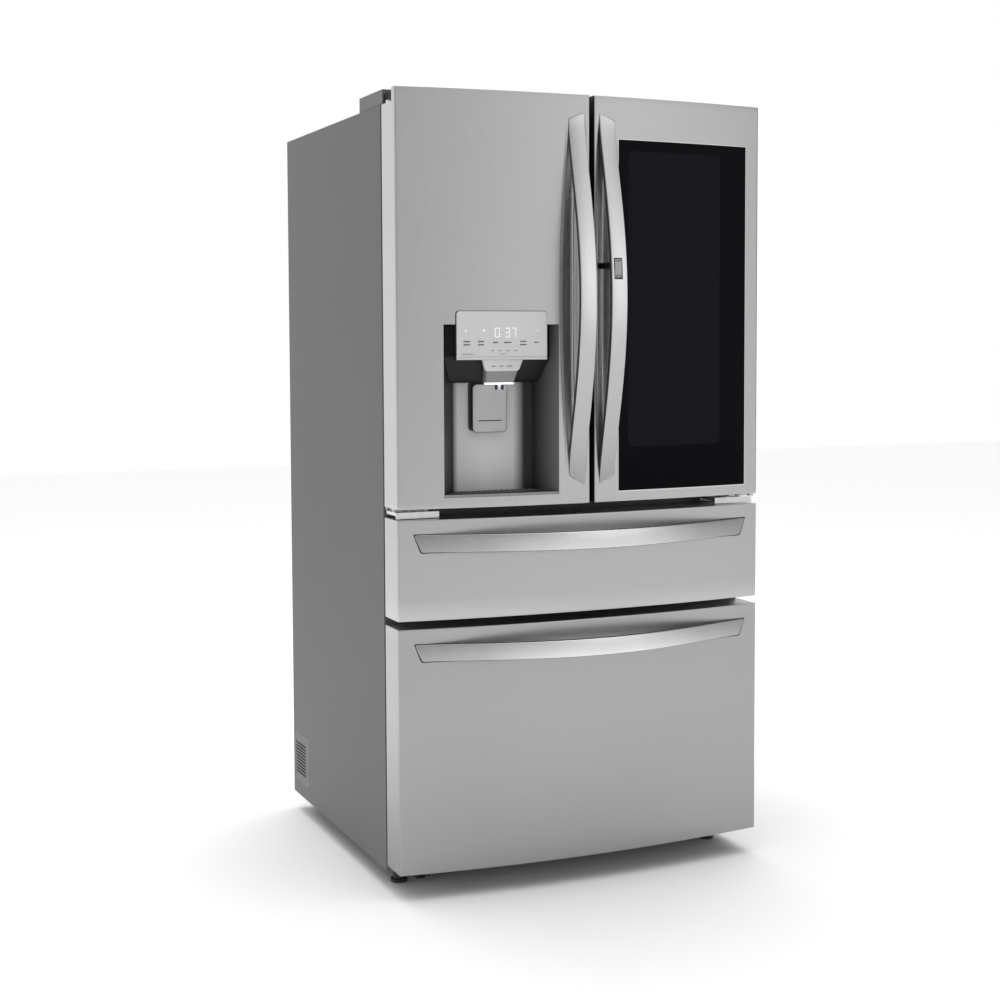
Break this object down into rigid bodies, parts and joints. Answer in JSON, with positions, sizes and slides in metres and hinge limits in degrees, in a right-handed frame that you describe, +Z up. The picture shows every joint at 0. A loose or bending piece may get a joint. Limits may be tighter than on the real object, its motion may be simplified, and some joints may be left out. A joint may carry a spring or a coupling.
{
  "type": "french door refrigerator",
  "caption": "Free-standing refrigerator with two bowed doors over two drawers, an ice and water dispenser, a glazed door-in-door, and sliding shelves of bins.",
  "frame": {"origin": "on the floor, under the middle of the bounding box", "axes": "+Z up, the doors face -Y, +X to the viewer's right"},
  "size_m": [0.908, 0.921, 1.784],
  "materials": {
    "shell_paint": "satin textured paint",
    "back_sheet": "galvanised",
    "foam": "matte",
    "liner_white": "satin",
    "shelf_trim": "satin",
    "shelf_pane": "polished",
    "zinc_steel": "zinc plated",
    "coil": "mill",
    "black_steel": "semi gloss",
    "ivory_plastic": "matte",
    "hinge_steel": "bright",
    "cover_grey": "satin",
    "fan_plastic": "matte",
    "wheel_nylon": "matte",
    "clear_bin": "clear",
    "stainless": "brushed",
    "handle_steel": "brushed",
    "gasket": "soft",
    "dispenser_black": "gloss",
    "panel_silver": "satin",
    "tray_grey": "satin",
    "paddle_grey": "satin",
    "door_glass": "polished tinted",
    "button_grey": "satin"
  },
  "bodies": {
    "cabinet": {"outer_shell": "shell_paint", "back_panel": "back_sheet", "cabinet_foam": "foam", "fridge_liner": "liner_white", "drawer_liners": "liner_white", "shelf_frames": "shelf_trim", "shelf_glass": "shelf_pane", "air_ducts": "liner_white", "fixed_rails": "zinc_steel", "evaporator": "coil", "base_plate": "zinc_steel", "compressor": "black_steel", "condenser": "black_steel", "rear_cover": "cover_grey", "water_valve": "ivory_plastic", "wheel_brackets": "black_steel", "door_hinges": "hinge_steel", "hinge_covers": "cover_grey", "screws": "zinc_steel"},
    "left_door": {"left_panel": "stainless", "left_liner": "liner_white", "left_gasket": "gasket", "left_handle": "handle_steel", "dispenser_housing": "dispenser_black", "control_panel": "panel_silver", "drip_tray": "tray_grey", "left_bins": "clear_bin", "ice_maker": "liner_white", "ice_bin": "clear_bin"},
    "right_inner_door": {"door_case": "liner_white", "case_hinges": "hinge_steel", "right_bins": "clear_bin", "right_gaskets": "gasket"},
    "right_outer_door": {"right_panel": "stainless", "glass_panel": "door_glass", "right_handle": "handle_steel"},
    "middle_drawer": {"mid_front": "stainless", "mid_gasket": "gasket", "mid_handle": "handle_steel", "mid_bin": "liner_white"},
    "freezer_drawer": {"freezer_front": "stainless", "freezer_gasket": "gasket", "freezer_handle": "handle_steel", "freezer_basket": "liner_white"},
    "latch_button": {"latch_button": "button_grey"},
    "mullion_flap": {"mullion_flap": "cover_grey"},
    "paddle": {"paddle": "paddle_grey"},
    "ice_auger": {"ice_auger": "coil"},
    "mid_rails": {"mid_rails": "zinc_steel"},
    "freezer_rails": {"freezer_rails": "zinc_steel"},
    "freezer_tray": {"freezer_tray": "clear_bin"},
    "crisper_left": {"crisper_left": "clear_bin"},
    "crisper_right": {"crisper_right": "clear_bin"},
    "condenser_fan": {"condenser_fan": "fan_plastic"},
    "evaporator_fan": {"evaporator_fan": "fan_plastic"},
    "roller_left": {"roller_left": "wheel_nylon"},
    "roller_right": {"roller_right": "wheel_nylon"},
    "rear_rollers": {"rear_rollers": "wheel_nylon"},
    "leg_left": {"leg_left": "wheel_nylon"},
    "leg_right": {"leg_right": "wheel_nylon"}
  },
  "joints": [
    {"name": "left_door_hinge", "type": "hinge", "parent": "cabinet", "child": "left_door", "pos_m": [-0.438, -0.3, 1.3], "axis": [0, 0, -1], "range_deg": [0, 115]},
    {"name": "right_door_hinge", "type": "hinge", "parent": "cabinet", "child": "right_inner_door", "pos_m": [0.438, -0.3, 1.3], "axis": [0, 0, 1], "range_deg": [0, 115]},
    {"name": "door_in_door_hinge", "type": "hinge", "parent": "right_inner_door", "child": "right_outer_door", "pos_m": [0.446, -0.348, 1.3], "axis": [0, 0, 1], "range_deg": [0, 100]},
    {"name": "latch_press", "type": "slide", "parent": "right_outer_door", "child": "latch_button", "axis": [0, 1, 0], "range_m": [0, 0.004], "stiffness_N_per_m": 400},
    {"name": "flap_hinge", "type": "hinge", "parent": "left_door", "child": "mullion_flap", "pos_m": [-0.038, -0.262, 1.3], "axis": [0, 0, -1], "range_deg": [0, 90]},
    {"name": "paddle_press", "type": "hinge", "parent": "left_door", "child": "paddle", "pos_m": [-0.214, -0.336, 1.134], "axis": [1, 0, 0], "range_deg": [0, 6], "stiffness_Nm_per_rad": 0.6},
    {"name": "auger_spin", "type": "hinge", "parent": "left_door", "child": "ice_auger", "pos_m": [-0.21275, -0.2, 1.35], "axis": [0, 1, 0], "continuous": true},
    {"name": "middle_drawer_slide", "type": "slide", "parent": "cabinet", "child": "middle_drawer", "axis": [0, -1, 0], "range_m": [0, 0.42]},
    {"name": "mid_rails_slide", "type": "slide", "parent": "cabinet", "child": "mid_rails", "axis": [0, -1, 0], "range_m": [0, 0.21]},
    {"name": "freezer_drawer_slide", "type": "slide", "parent": "cabinet", "child": "freezer_drawer", "axis": [0, -1, 0], "range_m": [0, 0.45]},
    {"name": "freezer_rails_slide", "type": "slide", "parent": "cabinet", "child": "freezer_rails", "axis": [0, -1, 0], "range_m": [0, 0.225]},
    {"name": "freezer_tray_slide", "type": "slide", "parent": "freezer_drawer", "child": "freezer_tray", "axis": [0, 1, 0], "range_m": [0, 0.25]},
    {"name": "crisper_left_slide", "type": "slide", "parent": "cabinet", "child": "crisper_left", "axis": [0, -1, 0], "range_m": [0, 0.085]},
    {"name": "crisper_right_slide", "type": "slide", "parent": "cabinet", "child": "crisper_right", "axis": [0, -1, 0], "range_m": [0, 0.085]},
    {"name": "condenser_fan_spin", "type": "hinge", "parent": "cabinet", "child": "condenser_fan", "pos_m": [0.044, 0.34, 0.165], "axis": [1, 0, 0], "continuous": true},
    {"name": "evaporator_fan_spin", "type": "hinge", "parent": "cabinet", "child": "evaporator_fan", "pos_m": [0, 0.334, 0.52], "axis": [0, 1, 0], "continuous": true},
    {"name": "roller_left_spin", "type": "hinge", "parent": "cabinet", "child": "roller_left", "pos_m": [-0.354, -0.215, 0.022], "axis": [1, 0, 0], "continuous": true},
    {"name": "roller_right_spin", "type": "hinge", "parent": "cabinet", "child": "roller_right", "pos_m": [0.354, -0.215, 0.022], "axis": [1, 0, 0], "continuous": true},
    {"name": "rear_rollers_spin", "type": "hinge", "parent": "cabinet", "child": "rear_rollers", "pos_m": [0, 0.398, 0.022], "axis": [1, 0, 0], "continuous": true},
    {"name": "leg_left_turn", "type": "hinge", "parent": "cabinet", "child": "leg_left", "pos_m": [-0.404, -0.215, 0], "axis": [0, 0, 1], "continuous": true},
    {"name": "leg_right_turn", "type": "hinge", "parent": "cabinet", "child": "leg_right", "pos_m": [0.404, -0.215, 0], "axis": [0, 0, 1], "continuous": true}
  ],
  "couplings": [
    {"joint": "mid_rails_slide", "follows": "middle_drawer_slide", "ratio": 0.5},
    {"joint": "freezer_rails_slide", "follows": "freezer_drawer_slide", "ratio": 0.5}
  ]
}
